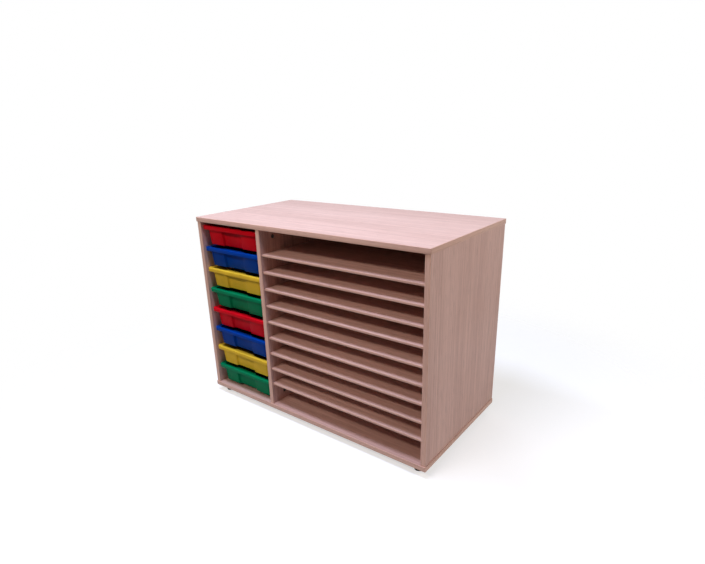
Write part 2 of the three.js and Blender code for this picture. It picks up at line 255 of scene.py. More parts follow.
@dataclass(frozen=True)
class WoodPrint:
    """Beech print on a board's facing or on its edging."""

    name: str
    grain: Grain
    pale: Colour
    deep: Colour
    pore: Colour
    roughness: float
    bands: Pattern = Pattern(7, along=0.1)
    streaks: Pattern = Pattern(130, 4, 0.62, along=0.012)
    lines: Pattern = Pattern(620, 2, 0.6, along=0.008)
    dashes: Pattern = Pattern(520, 0, along=0.05)
    smears: Pattern = Pattern(14, 3)
    band_share: float = 0.3
    streak_share: float = 0.45
    line_share: float = 0.25
    tone_span: Span = (0.39, 0.61)
    pore_span: Span = (0.62, 0.74)
    pore_share: float = 0.32
    pore_depth: float = 0.6
    line_depth: float = 0.4
    smear_roughness: float = 0.12
    relief_roughness: float = 0.05
    relief_height: float = 0.00006
    relief_strength: float = 0.5

    def _layer(self, paint: Paint, pattern: Pattern) -> Wire:
        """One pattern of the print, drawn out along the grain."""
        return paint.noise(paint.place(self.grain.stretch(pattern.along)), pattern)

    def colour(self, paint: Paint) -> tuple[Wire, Wire]:
        """Lays the print's patterns over each other.

        Args:
            paint: The paint of the material that takes the print.

        Returns:
            The print's colour, and its relief from 0 to 1.
        """
        lines = self._layer(paint, self.lines)
        figure = (
            self.band_share * self._layer(paint, self.bands)
            + self.streak_share * self._layer(paint, self.streaks)
            + self.line_share * lines
        )
        wood = paint.mix(paint.ease(figure, *self.tone_span), self.pale.linear(), self.deep.linear())
        pores = paint.ease(self._layer(paint, self.dashes), *self.pore_span)
        relief = 1 - self.pore_depth * pores - self.line_depth * lines
        return paint.mix(self.pore_share * pores, wood, self.pore.linear()), relief

    def material(self) -> bpy.types.Material:
        """Makes the print a melamine facing.

        Returns:
            The material.
        """
        material, paint = Paint.fresh(self.name)
        colour, relief = self.colour(paint)
        smears = paint.noise(paint.place(), self.smears) - NOISE_MEAN
        paint.finish(
            Base_Color=colour,
            Roughness=self.roughness + self.smear_roughness * smears + self.relief_roughness * relief,
            Normal=paint.bump(relief, self.relief_height, self.relief_strength),
        )
        return material


@dataclass(frozen=True)
class BackBoard:
    """Thin fibreboard: wood print towards the shelves, bare brown fibre behind."""

    name: str
    facing: WoodPrint
    fibre: Colour
    fleck: Colour
    fuzz: Pattern = Pattern(260, 5, 0.7)
    clouds: Pattern = Pattern(9, 3)
    fuzz_share: float = 0.7
    cloud_share: float = 0.3
    fleck_span: Span = (0.35, 0.68)
    turn_blur: float = 0.0002
    roughness: float = 0.55
    fibre_roughness: float = 0.3
    fuzz_height: float = 0.0002
    fuzz_strength: float = 0.35

    def material(self, turn: float) -> bpy.types.Material:
        """Makes the two faces one material, divided by how far back the surface lies.

        Args:
            turn: How far along Y the print gives way to the fibre.

        Returns:
            The material.
        """
        material, paint = Paint.fresh(self.name)
        colour, _ = self.facing.colour(paint)
        place = paint.place()
        fuzz = paint.noise(place, self.fuzz)
        figure = self.fuzz_share * fuzz + self.cloud_share * paint.noise(place, self.clouds)
        fibre = paint.mix(paint.ease(figure, *self.fleck_span), self.fibre.linear(), self.fleck.linear())
        behind = paint.ease(paint.part(place, "Y"), turn - self.turn_blur, turn + self.turn_blur)
        paint.finish(
            Base_Color=paint.mix(behind, colour, fibre),
            Roughness=self.roughness + self.fibre_roughness * behind,
            Normal=paint.bump(fuzz, self.fuzz_height, self.fuzz_strength),
        )
        return material


@dataclass(frozen=True)
class Moulding:
    """Moulded plastic: clouded colour, a fine spark-eroded skin and rubbed patches."""

    name: str
    colour: Colour
    rubbed: Colour
    roughness: float = 0.33
    skin_height: float = 0.00003
    skin_strength: float = 0.4
    gloss: float = 0.03
    clouds: Pattern = Pattern(11, 3)
    skin: Pattern = Pattern(2600)
    scuffs: Pattern = Pattern(190, 5, 0.7)
    scuff_stretch: tuple[float, float, float] = (0.25, 1, 1.6)
    scuff_span: Span = (0.6, 0.8)
    patch_span: Span = (0.42, 0.62)
    cloud_span: Span = (0.3, 0.7)
    cloud_shade: float = 0.86
    worn_share: float = 0.15
    cloud_roughness: float = 0.1
    worn_roughness: float = 0.2

    def material(self) -> bpy.types.Material:
        """Makes the plastic a material.

        Returns:
            The material.
        """
        material, paint = Paint.fresh(self.name)
        place = paint.place()
        clouds = paint.noise(place, self.clouds)
        skin = paint.noise(place, self.skin)
        scuffs = paint.noise(paint.place(self.scuff_stretch), self.scuffs)
        worn = paint.ease(scuffs, *self.scuff_span) * paint.ease(clouds, *self.patch_span)
        plain = self.colour.linear()
        shaded = (*(self.cloud_shade * part for part in plain[:3]), 1.0)
        body = paint.mix(paint.ease(clouds, *self.cloud_span), shaded, plain)
        uneven = self.cloud_roughness * (clouds - NOISE_MEAN) + self.worn_roughness * worn
        paint.finish(
            Base_Color=paint.mix(self.worn_share * worn, body, self.rubbed.linear()),
            Roughness=self.roughness + uneven,
            Normal=paint.bump(skin, self.skin_height, self.skin_strength),
            Specular_IOR_Level=self.gloss,
        )
        return material


@dataclass(frozen=True)
class PlatedMetal:
    """Cast or plated metal with fine marks."""

    name: str
    colour: Colour
    tarnish: Colour
    roughness: float
    clouds: Pattern = Pattern(240, 4, 0.6)
    grit: Pattern = Pattern(3200)
    dull_span: Span = (0.4, 0.7)
    dull_roughness: float = 0.18
    grit_height: float = 0.00004
    grit_strength: float = 0.3

    def material(self) -> bpy.types.Material:
        """Makes the metal a material.

        Returns:
            The material.
        """
        material, paint = Paint.fresh(self.name)
        place = paint.place()
        dull = paint.ease(paint.noise(place, self.clouds), *self.dull_span)
        grit = paint.noise(place, self.grit)
        paint.finish(
            Base_Color=paint.mix(dull, self.colour.linear(), self.tarnish.linear()),
            Metallic=1.0,
            Roughness=self.roughness + self.dull_roughness * dull,
            Normal=paint.bump(grit, self.grit_height, self.grit_strength),
        )
        return material


LEVEL_FACE = WoodPrint(
    name="board_level",
    grain=Grain.ALONG_X,
    pale=Colour(216, 176, 162),
    deep=Colour(192, 150, 136),
    pore=Colour(140, 98, 84),
    roughness=0.38,
)
UPRIGHT_FACE = replace(LEVEL_FACE, name="board_upright", grain=Grain.UPRIGHT, roughness=0.46)
LEVEL_EDGE = replace(
    LEVEL_FACE,
    name="edging_level",
    grain=Grain.LEVEL_EDGE,
    pale=Colour(216, 172, 150),
    deep=Colour(198, 153, 134),
    roughness=0.4,
)
UPRIGHT_EDGE = replace(
    LEVEL_EDGE,
    name="edging_upright",
    grain=Grain.UPRIGHT,
    pale=Colour(223, 178, 155),
    deep=Colour(205, 159, 139),
)
BACK_BOARD = BackBoard("back_board", UPRIGHT_FACE, Colour(172, 132, 98), Colour(140, 103, 74))
TRAY_PLASTICS = {
    "red": Moulding("tray_red", Colour(222, 12, 30), Colour(226, 90, 90)),
    "blue": Moulding("tray_blue", Colour(0, 62, 156), Colour(80, 120, 190)),
    "yellow": Moulding("tray_yellow", Colour(240, 196, 56), Colour(240, 216, 120)),
    "green": Moulding("tray_green", Colour(0, 127, 82), Colour(70, 170, 130)),
}
RUNNER_PLASTIC = Moulding("runner_plastic", Colour(112, 90, 76), Colour(150, 130, 116), roughness=0.45)
FOOT_PLASTIC = Moulding(
    "foot_plastic", Colour(24, 24, 25), Colour(70, 70, 72), roughness=0.5, skin_height=0.00008
)
CAM_ZINC = PlatedMetal("cam_zinc", Colour(112, 108, 106), Colour(66, 62, 60), roughness=0.5)
SCREW_STEEL = PlatedMetal("screw_steel", Colour(196, 198, 202), Colour(140, 138, 132), roughness=0.3)


# Modelling by hand


class Kind(Enum):
    """What a selection is made of."""

    VERT = "verts"
    EDGE = "edges"
    FACE = "faces"


class Carve(Enum):
    """What one piece does to another."""

    JOIN = "UNION"
    CUT = "DIFFERENCE"


class Bench:
    """A piece on the bench: one mesh, shaped in edit mode."""

    crease_angle = math.radians(40)
    smooth_angle = math.radians(35)

    def __init__(self, piece: bpy.types.Object) -> None:
        """Keeps the piece's object."""
        self.piece = piece

    @staticmethod
    def _take(name: str) -> "Bench":
        """Names the primitive that was just added and settles its place into its mesh.

        Args:
            name: The piece's name.

        Returns:
            The piece.
        """
        piece = bpy.context.active_object
        piece.name = name
        piece.data.name = name
        bpy.ops.object.transform_apply(location=True, rotation=True, scale=True)
        return Bench(piece)

    @staticmethod
    def box(name: str, low: Vector, high: Vector) -> "Bench":
        """Starts a piece from a box.

        Args:
            name: The piece's name.
            low: The box's lowest corner.
            high: Its highest corner.

        Returns:
            The piece.
        """
        bpy.ops.object.select_all(action="DESELECT")
        bpy.ops.mesh.primitive_cube_add(size=1, location=(low + high) / 2, scale=high - low)
        return Bench._take(name)

    @staticmethod
    def cylinder(name: str, radius: float, low: Vector, high: Vector, sides: int) -> "Bench":
        """Starts a piece from a cylinder.

        Args:
            name: The piece's name.
            radius: The cylinder's radius.
            low: The middle of one end.
            high: The middle of the other end.
            sides: How many faces go round it.

        Returns:
            The piece.
        """
        run = high - low
        turn = Vector((0, 0, 1)).rotation_difference(run).to_euler()
        bpy.ops.object.select_all(action="DESELECT")
        bpy.ops.mesh.primitive_cylinder_add(
            vertices=sides, radius=radius, depth=run.length, location=(low + high) / 2, rotation=turn
        )
        return Bench._take(name)

    def _select(self) -> None:
        """Makes the piece the active one and the only one selected."""
        bpy.ops.object.select_all(action="DESELECT")
        self.piece.select_set(True)
        bpy.context.view_layer.objects.active = self.piece

    @contextmanager
    def editing(self) -> Iterator[None]:
        """Opens the piece in edit mode, with nothing else selected."""
        self._select()
        bpy.ops.object.mode_set(mode="EDIT")
        yield
        bpy.ops.object.mode_set(mode="OBJECT")

    def pick(self, kind: Kind, test: Test, border: bool = False) -> None:
        """Selects by place, in edit mode.

        Args:
            kind: Vertices, edges or faces.
            test: Takes the middle, and the normal of a vertex or face or the direction of an edge.
            border: Whether only edges that belong to one face are taken.
        """
        bpy.ops.mesh.select_mode(type=kind.name)
        bpy.ops.mesh.select_all(action="DESELECT")
        mesh = bmesh.from_edit_mesh(self.piece.data)
        for item in getattr(mesh, kind.value):
            if border and not item.is_boundary:
                continue
            if test(*self._where(item)):
                item.select_set(True)
        mesh.select_flush_mode()
        bmesh.update_edit_mesh(self.piece.data)

    @staticmethod
    def _where(item: Element) -> tuple[Vector, Vector]:
        """Finds where a mesh element lies.

        Args:
            item: A vertex, edge or face.

        Returns:
            Its middle, with its normal or, for an edge, its direction.
        """
        if isinstance(item, bmesh.types.BMFace):
            return item.calc_center_median(), item.normal
        if isinstance(item, bmesh.types.BMEdge):
            first, last = (vertex.co for vertex in item.verts)
            return (first + last) / 2, (last - first).normalized()
        return item.co.copy(), item.normal

    def round_edges(self, radius: float, segments: int, test: Test) -> None:
        """Rounds the edges that pass the test, in edit mode."""
        self.pick(Kind.EDGE, test)
        bpy.ops.mesh.bevel(offset=radius, segments=segments, profile=0.5, affect="EDGES")

    def split(self, point: Vector, normal: Sequence[float], test: Test) -> None:
        """Cuts the faces that pass the test along a plane, in edit mode."""
        self.pick(Kind.FACE, test)
        bpy.ops.mesh.bisect(plane_co=point, plane_no=normal)

    @staticmethod
    def extrude(move: Sequence[float]) -> None:
        """Draws the selected faces out, in edit mode."""
        bpy.ops.mesh.extrude_region_move(TRANSFORM_OT_translate={"value": move})

    def apply(self, kind: str, **settings: object) -> None:
        """Adds a modifier and applies it.

        Args:
            kind: The modifier's type.
            settings: Its settings.
        """
        self._select()
        made = self.piece.modifiers.new(kind, kind)
        for name, value in settings.items():
            setattr(made, name, value)
        bpy.ops.object.modifier_apply(modifier=made.name)

    def soften(self, width: float, segments: int = 2) -> None:
        """Rounds every crease of the piece a little."""
        limit = {"limit_method": "ANGLE", "angle_limit": self.crease_angle}
        self.apply("BEVEL", width=width, segments=segments, **limit)

    def thicken(self, wall: float) -> None:
        """Gives an open shell a wall on its inner side."""
        self.apply("SOLIDIFY", thickness=wall, offset=-1, use_even_offset=True)

    def combine(self, others: Sequence["Bench"], carve: Carve) -> None:
        """Joins or cuts the piece with others, which are used up.

        Args:
            others: The other pieces.
            carve: Whether they are joined to it or cut from it.
        """
        for other in others:
            self.apply("BOOLEAN", operation=carve.value, solver="EXACT", object=other.piece)
            other.discard()

    def smooth(self) -> None:
        """Shades the curved faces smooth and keeps the creases."""
        self._select()
        bpy.ops.object.shade_smooth_by_angle(angle=self.smooth_angle)

    def discard(self) -> None:
        """Removes the piece."""
        bpy.data.objects.remove(self.piece)

    def copy(self, name: str, move: Matrix) -> "Bench":
        """Copies the piece, with a mesh of its own.

        Args:
            name: The copy's name.
            move: Where it goes; a mirrored copy has its faces turned back out.

        Returns:
            The copy.
        """
        made = self.piece.copy()
        made.data = self.piece.data.copy()
        made.name = name
        made.data.name = name
        made.data.transform(move)
        if move.determinant() < 0:
            made.data.flip_normals()
        bpy.context.scene.collection.objects.link(made)
        return Bench(made)

    def dress(
        self, material: bpy.types.Material, body: str, slot: str, replaces: Sequence[str] = ()
    ) -> None:
        """Gives the piece its finish and its place in the frame.

        Args:
            material: Its finish.
            body: The body that it moves with.
            slot: A material slot's name; not used.
            replaces: The CAD nodes that it stands for.
        """
        self.smooth()
        self.piece.data.materials.clear()
        self.piece.data.materials.append(material)
        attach(self.piece, body)
        if replaces:
            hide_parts(*replaces)
        log.info("%s rides on %s", self.piece.name, body)


def seat(node: str) -> Bench:
    """Makes the cutter for a CAD node's seat.

    Args:
        node: The node.

    Returns:
        Its box, larger by the fit gap all round.
    """
    low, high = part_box(node)
    margin = Vector((FIT_GAP, FIT_GAP, FIT_GAP))
    return Bench.box("seat", low - margin, high + margin)


def stands(middle: Vector, run: Vector) -> bool:
    """Whether an edge stands upright."""
    return abs(run.z) > FACING


def past_outline(point: Vector, half_width: float, half_depth: float, radius: float) -> bool:
    """Tells whether a point, seen from above, lies past a rounded rectangle.

    Args:
        point: The point, measured from the rectangle's middle.
        half_width: Half the rectangle's size along X.
        half_depth: Half its size along Y.
        radius: The radius of its corners.

    Returns:
        True outside it, and False inside.
    """
    past_x = abs(point.x) - (half_width - radius)
    past_y = abs(point.y) - (half_depth - radius)
    if past_x > 0 and past_y > 0:
        return math.hypot(past_x, past_y) > radius
    return abs(point.x) > half_width or abs(point.y) > half_depth


# The object


class Row(Enum):
    """Front and back of the unit."""

    FRONT = "front"
    BACK = "back"


class Side(Enum):
    """Left and right, for someone who faces the unit."""

    LEFT = "left"
    RIGHT = "right"


class Upright(Enum):
    """The boards that stand between the base and the top."""

    LEFT = "left"
    DIVIDER = "divider"
    RIGHT = "right"

    @property
    def node(self) -> str:
        """Name of the board's CAD node."""
        return "divider_panel" if self is Upright.DIVIDER else f"{self.value}_side_panel"


class Slab(Enum):
    """The boards that lie over and under the uprights."""

    TOP = "top"
    BASE = "base"

    @property
    def node(self) -> str:
        """Name of the board's CAD node."""
        return f"{self.value}_panel"


@dataclass
class CamFittings:
    """Cams in the uprights' inner faces, each with the bolt that it clamps."""

    metal: bpy.types.Material
    cam_radius: float = 0.0075
    cam_length: float = 0.0122
    bolt_radius: float = 0.0032
    thread_radius: float = 0.0025
    thread_length: float = 0.011
    board: float = 0.018
    rim: float = 0.0009
    rim_depth: float = 0.0006
    slot_width: float = 0.0018
    slot_length: float = 0.0095
    slot_depth: float = 0.0024
    edge_round: float = 0.0002
    bore_past: float = 0.002
    cam_sides: int = 48
    bolt_sides: int = 24

    @staticmethod
    def names(upright: Upright) -> list[str]:
        """Names of the fittings in one upright."""
        stem = f"cam_fitting_{upright.value}"
        return [f"{stem}_{slab.value}_{row.value}" for slab in Slab for row in Row]

    @staticmethod
    def all_names() -> list[str]:
        """Names of the fittings in all the uprights."""
        return [name for upright in Upright for name in CamFittings.names(upright)]

    def place(self, node: str) -> tuple[Vector, float, float]:
        """Works out where a fitting sits.

        Args:
            node: Its CAD node.

        Returns:
            The middle of its cam's face, which way that faces along X, and which way its bolt runs along Z.
        """
        low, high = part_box(node)
        facing = -1.0 if "_right_" in node else 1.0
        rising = 1.0 if "_top_" in node else -1.0
        face = high.x if facing > 0 else low.x
        height = low.z + self.cam_radius if rising > 0 else high.z - self.cam_radius
        return Vector((face, (low.y + high.y) / 2, height)), facing, rising

    @staticmethod
    def bolt_reach(node: str) -> float:
        """Height of the far end of a fitting's bolt."""
        low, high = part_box(node)
        return high.z if "_top_" in node else low.z

    def bores(self, nodes: Sequence[str], cams: bool) -> list[Bench]:
        """Makes the cutters for the holes of some fittings.

        Args:
            nodes: The fittings.
            cams: Whether the cams' own holes are cut as well as the bolts'.

        Returns:
            The cutters.
        """
        cutters = []
        for node in nodes:
            face, facing, rising = self.place(node)
            if cams:
                out = face + Vector((facing * self.bore_past, 0, 0))
                back = face - Vector((facing * (self.cam_length + FIT_GAP), 0, 0))
                radius = self.cam_radius + FIT_GAP
                cutters.append(Bench.cylinder("bore", radius, back, out, self.cam_sides))
            start = face - Vector((facing * (self.board / 2 - FIT_GAP), 0, 0))
            end = start.copy()
            end.z = self.bolt_reach(node) + rising * FIT_GAP
            radius = (self.bolt_radius if cams else self.thread_radius) + FIT_GAP
            cutters.append(Bench.cylinder("bore", radius, start, end, self.bolt_sides))
        return cutters

    def build(self) -> None:
        """Models one fitting and copies it to all the uprights."""
        nodes = self.all_names()
        first, _, _ = self.place(nodes[0])
        master = self._fitting(nodes[0])
        for node in nodes:
            face, facing, rising = self.place(node)
            mirror = Matrix.Diagonal((facing, 1, rising, 1))
            move = Matrix.Translation(face) @ mirror @ Matrix.Translation(-first)
            master.copy(f"{node}_piece", move).dress(self.metal, CARCASS, "cam_zinc", [node])
        master.discard()

    def _fitting(self, node: str) -> Bench:
        """Models a cam with a rim and a cross slot, and its bolt.

        Args:
            node: The fitting's CAD node, with its cam facing +X and its bolt running up.

        Returns:
            The piece.
        """
        face, _, _ = self.place(node)
        back = face - Vector((self.cam_length, 0, 0))
        fitting = Bench.cylinder("cam_master", self.cam_radius, back, face, self.cam_sides)
        with fitting.editing():
            fitting.pick(Kind.FACE, lambda middle, normal: normal.x > FACING)
            bpy.ops.mesh.inset(thickness=self.rim, depth=-self.rim_depth)
            bpy.ops.mesh.inset(thickness=self.rim, depth=self.rim_depth / 2)
        reach = self.slot_length / 2
        half = self.slot_width / 2
        floor = Vector((face.x - self.slot_depth, face.y, face.z))
        for across, upright in ((reach, half), (half, reach)):
            low = floor - Vector((0, across, upright))
            high = floor + Vector((2 * self.slot_depth, across, upright))
            fitting.combine([Bench.box("slot", low, high)], Carve.CUT)
        axis = face - Vector((self.board / 2 - FIT_GAP, 0, 0))
        tip = axis.copy()
        tip.z = self.bolt_reach(node)
        neck = tip - Vector((0, 0, self.thread_length))
        shank = Bench.cylinder("shank", self.bolt_radius, axis, neck, self.bolt_sides)
        thread = Bench.cylinder("thread", self.thread_radius, axis, tip, self.bolt_sides)
        fitting.combine([shank, thread], Carve.JOIN)
        fitting.soften(self.edge_round)
        return fitting


@dataclass
class Carcass:
    """Boards with edging glued along their edges, the back and the paper shelves."""

    level_face: bpy.types.Material
    upright_face: bpy.types.Material
    level_edge: bpy.types.Material
    upright_edge: bpy.types.Material
    back: bpy.types.Material
    fittings: CamFittings
    shelf_count: int = 9
    edging: float = 0.002
    arris: float = 0.0015
    shelf_arris: float = 0.0011
    corner: float = 0.003
    back_round: float = 0.0004
    shelf_round: float = 0.0002
    outer_margin: float = 0.0005
    arris_segments: int = 4
    corner_segments: int = 8

    def build(self) -> None:
        """Builds every board."""
        for slab in Slab:
            self._slab(slab)
        for upright in Upright:
            self._upright(upright)
        for shelf in self._shelves():
            self._shelf(shelf)
        low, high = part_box("back_panel")
        back = Bench.box("back_panel_piece", low, high)
        back.soften(self.back_round)
        back.dress(self.back, CARCASS, "back_board", ["back_panel"])

    def _shelves(self) -> list[str]:
        """Names of the paper shelves' CAD nodes."""
        return [f"shelf_{level + 1}" for level in range(self.shelf_count)]

    def _slab(self, slab: Slab) -> None:
        """Models the top or the base: a core with a band of edging right round it.

        Args:
            slab: Which of the two.
        """
        node = slab.node
        low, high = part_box(node)
        inset = Vector((self.edging, self.edging, 0))
        core = Bench.box(f"{node}_core", low + inset, high - inset)
        with core.editing():
            core.round_edges(self.corner - self.edging, self.arris_segments, stands)
        nodes = [name for name in self.fittings.all_names() if f"_{slab.value}_" in name]
        holes = self.fittings.bores(nodes, cams=False)
        core.combine([seat("back_panel"), *holes], Carve.CUT)
        core.dress(self.level_face, CARCASS, BOARD, [node])
        self._band(f"{node}_edging", low, high).dress(self.level_edge, CARCASS, BOARD)

    def _band(self, name: str, low: Vector, high: Vector) -> Bench:
        """Models a band of edging that goes right round a board.

        Args:
            name: The band's name.
            low: The board's lowest corner.
            high: Its highest corner.

        Returns:
            The band, with its outer edges rounded.
        """
        band = Bench.box(name, low, high)
        with band.editing():
            band.pick(Kind.FACE, lambda middle, normal: abs(normal.z) > FACING)
            bpy.ops.mesh.delete(type="ONLY_FACE")
            band.round_edges(self.corner, self.corner_segments, stands)
        band.thicken(self.edging)
        outer_x = high.x - self.outer_margin
        outer_y = high.y - self.outer_margin
        radius = self.corner - self.outer_margin

        def on_arris(middle: Vector, run: Vector) -> bool:
            """Whether an edge runs along one of the band's outer edges."""
            return abs(run.z) < ACROSS and past_outline(middle, outer_x, outer_y, radius)

        with band.editing():
            band.round_edges(self.arris, self.arris_segments, on_arris)
        return band

    def _strip(self, name: str, low: Vector, high: Vector, row: Row, arris: float) -> Bench:
        """Models a strip of edging.

        Args:
            name: The strip's name.
            low: Its lowest corner.
            high: Its highest corner.
            row: Whether it lies at the front or the back.
            arris: The radius of its two outer long edges.

        Returns:
            The strip.
        """
        strip = Bench.box(name, low, high)
        outer = low.y if row is Row.FRONT else high.y
        level = high.x - low.x > high.z - low.z

        def on_arris(middle: Vector, run: Vector) -> bool:
            """Whether an edge is one of the outer long ones."""
            return abs(middle.y - outer) < NEAR and abs(run.x if level else run.z) > FACING

        with strip.editing():
            strip.round_edges(arris, self.arris_segments, on_arris)
        return strip

    def _upright(self, upright: Upright) -> None:
        """Models a side or the divider, cut for what it holds, with edging front and back.

        Args:
            upright: Which of the three.
        """
        node = upright.node
        low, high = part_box(node)
        edged_back = upright is not Upright.DIVIDER
        core_low = low + Vector((0, self.edging, 0))
        core_high = high - Vector((0, self.edging if edged_back else 0, 0))
        core = Bench.box(f"{node}_core", core_low, core_high)
        seats = [] if upright is Upright.LEFT else [seat(shelf) for shelf in self._shelves()]
        if edged_back:
            seats.append(seat("back_panel"))
        holes = self.fittings.bores(self.fittings.names(upright), cams=True)
        core.combine([*seats, *holes], Carve.CUT)
        core.dress(self.upright_face, CARCASS, BOARD, [node])
        front_high = Vector((high.x, core_low.y, high.z))
        front = self._strip(f"{node}_front_edging", low, front_high, Row.FRONT, self.arris)
        front.dress(self.upright_edge, CARCASS, BOARD)
        if edged_back:
            back_low = Vector((low.x, core_high.y, low.z))
            behind = self._strip(f"{node}_back_edging", back_low, high, Row.BACK, self.arris)
            behind.dress(self.upright_edge, CARCASS, BOARD)

    def _shelf(self, node: str) -> None:
        """Models a paper shelf with edging along its front.

        Args:
            node: The shelf's CAD node.
        """
        low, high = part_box(node)
        core = Bench.box(f"{node}_core", low + Vector((0, self.edging, 0)), high)
        core.soften(self.shelf_round)
        core.dress(self.level_face, CARCASS, BOARD, [node])
        front_high = Vector((high.x, low.y + self.edging, high.z))
        front = self._strip(f"{node}_edging", low, front_high, Row.FRONT, self.shelf_arris)
        front.dress(self.level_edge, CARCASS, BOARD)


@dataclass
class Trays:
    """Moulded trays: a tapered body with a finger recess, under a rim with a front lip."""

    finishes: dict[str, bpy.types.Material]
    count: int = 8
    body_width: float = 0.284
    flange: float = 0.011
    corner: float = 0.014
    wall: float = 0.003
    draft: float = 0.07
    rim_corner: float = 0.012
    lip_height: float = 0.014
    lip_wrap: float = 0.016
    grip_width: float = 0.105
    grip_depth: float = 0.0085
    grip_slope: float = 0.004
    crease: float = 0.002
    floor_round: float = 0.0025
    rail_drop: float = 0.023
    rail_height: float = 0.002
    rail_depth: float = 0.0016
    edge_round: float = 0.0009
    corner_segments: int = 6
    crease_segments: int = 3
    floor_segments: int = 4
    merge_gap: float = 0.000001
    margin: float = 0.0001

    def node(self, level: int) -> str:
        """Name of a tray's CAD node, counted from 0 at the top."""
        names = list(self.finishes)
        return f"tray_{level + 1}_{names[level % len(names)]}"

    def build(self) -> None:
        """Models the top tray, then copies it down the bay."""
        master = self._tray()
        start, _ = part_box(self.node(0))
        for level in range(self.count):
            node = self.node(level)
            low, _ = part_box(node)
            colour = node.split("_")[-1]
            tray = master.copy(f"{node}_piece", Matrix.Translation(low - start))
            tray.dress(self.finishes[colour], f"tray_{level + 1}", f"tray_{colour}", [node])
        master.discard()

    def _tray(self) -> Bench:
        """Models the top tray: body, rim and lip, then its wall, its label rail and its rounded creases.

        Returns:
            The piece.
        """
        low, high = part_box(self.node(0))
        middle = (low + high) / 2
        under = high.z - self.wall
        half = self.body_width / 2
        front = low.y + self.flange
        tray = Bench.box(
            "tray_master",
            Vector((middle.x - half, front, low.z)),
            Vector((middle.x + half, high.y - self.flange, under)),
        )
        with tray.editing():
            self._recess(tray, middle, front)
            self._shape_body(tray, middle, front, low.z)
            self._add_rim(tray, low, high, under)
            bpy.ops.mesh.select_all(action="SELECT")
            bpy.ops.mesh.remove_doubles(threshold=self.merge_gap)
            bpy.ops.mesh.normals_make_consistent(inside=False)
        floor = min(tray.piece.data.polygons, key=lambda face: face.center.z)
        if floor.normal.z > 0:
            tray.piece.data.flip_normals()
        tray.thicken(self.wall)
        with tray.editing():
            self._add_rail(tray, middle, front + self.grip_depth, high.z)
        tray.soften(self.edge_round, self.crease_segments)
        return tray

    def _grip_edge(self) -> float:
        """Half the recess's width, halfway down its sloping sides."""
        return self.grip_width / 2 + self.grip_slope / 2

    def _recess(self, tray: Bench, middle: Vector, front: float) -> None:
        """Sets the finger recess into the front.

        Args:
            tray: The tray, in edit mode.
            middle: The middle of its box.
            front: Where the front of its body lies along Y.
        """
        for side in (-1, 1):
            for reach in (self.grip_width / 2, self.grip_width / 2 + self.grip_slope):
                plane = Vector((middle.x + side * reach, front, 0))
                tray.split(plane, (1, 0, 0), lambda place, normal: normal.y < -FACING)
        edge = self._grip_edge()

        def in_grip(place: Vector, normal: Vector) -> bool:
            """Whether a vertex is on the flat of the recess."""
            return abs(place.x - middle.x) < edge and abs(place.y - front) < NEAR

        tray.pick(Kind.VERT, in_grip)
        bpy.ops.transform.translate(value=(0, self.grip_depth, 0))

    def _shape_body(self, tray: Bench, middle: Vector, front: float, floor: float) -> None:
        """Opens the top, leans the walls in and rounds the corners.

        Args:
            tray: The tray, in edit mode.
            middle: The middle of its box.
            front: Where the front of its body lies along Y.
            floor: The height of its underside.
        """

        def on_floor(place: Vector, way: Vector) -> bool:
            """Whether a vertex or an edge is on the underside."""
            return abs(place.z - floor) < NEAR

        tray.pick(Kind.FACE, lambda place, normal: normal.z > FACING)
        bpy.ops.mesh.delete(type="ONLY_FACE")
        tray.pick(Kind.VERT, on_floor)
        lean = self.draft * 2 * (middle.z - floor)
        half_depth = middle.y - front
        shrink = (1 - lean / (self.body_width / 2), 1 - lean / half_depth, 1)
        bpy.ops.transform.resize(value=shrink, center_override=(middle.x, middle.y, floor))

        outer = self.body_width / 2 - self.corner
        edge = self._grip_edge() + self.grip_slope
        behind = front + 2 * self.grip_depth

        def on_corner(place: Vector, run: Vector) -> bool:
            """Whether an edge is one of the body's four corners."""
            return stands(place, run) and abs(place.x - middle.x) > outer

        def on_crease(place: Vector, run: Vector) -> bool:
            """Whether an edge is an upright one of the recess."""
            return stands(place, run) and abs(place.x - middle.x) < edge and place.y < behind

        tray.round_edges(self.corner, self.corner_segments, on_corner)
        tray.round_edges(self.crease, self.crease_segments, on_crease)
        tray.round_edges(self.floor_round, self.floor_segments, on_floor)

    def _add_rim(self, tray: Bench, low: Vector, high: Vector, under: float) -> None:
        """Fills the rim's flat round the open top, then drops the lip from its front.

        Args:
            tray: The tray, in edit mode.
            low: The lowest corner of its box.
            high: The highest corner of its box.
            under: The height of the rim's underside.
        """
        middle = (low + high) / 2
        inner = (high - low) - Vector((2 * self.wall, 2 * self.wall, 0))
        radius = self.rim_corner - self.wall
        spot = (middle.x, middle.y, under)
        bpy.ops.mesh.select_all(action="DESELECT")
        bpy.ops.mesh.primitive_plane_add(size=1, location=spot)
        bpy.ops.transform.resize(value=(inner.x, inner.y, 1), center_override=spot)
        bpy.ops.mesh.bevel(offset=radius, segments=self.corner_segments, affect="VERTICES")
        bpy.ops.mesh.delete(type="ONLY_FACE")
        bpy.ops.mesh.select_mode(type="EDGE")
        bpy.ops.mesh.select_all(action="DESELECT")
        bpy.ops.mesh.select_non_manifold(
            use_wire=True,
            use_boundary=True,
            use_multi_face=False,
            use_non_contiguous=False,
            use_verts=False,
        )
        bpy.ops.mesh.fill(use_beauty=True)

        def on_flat(place: Vector, way: Vector) -> bool:
            """Whether a place is on the rim's flat."""
            return abs(place.z - under) < NEAR

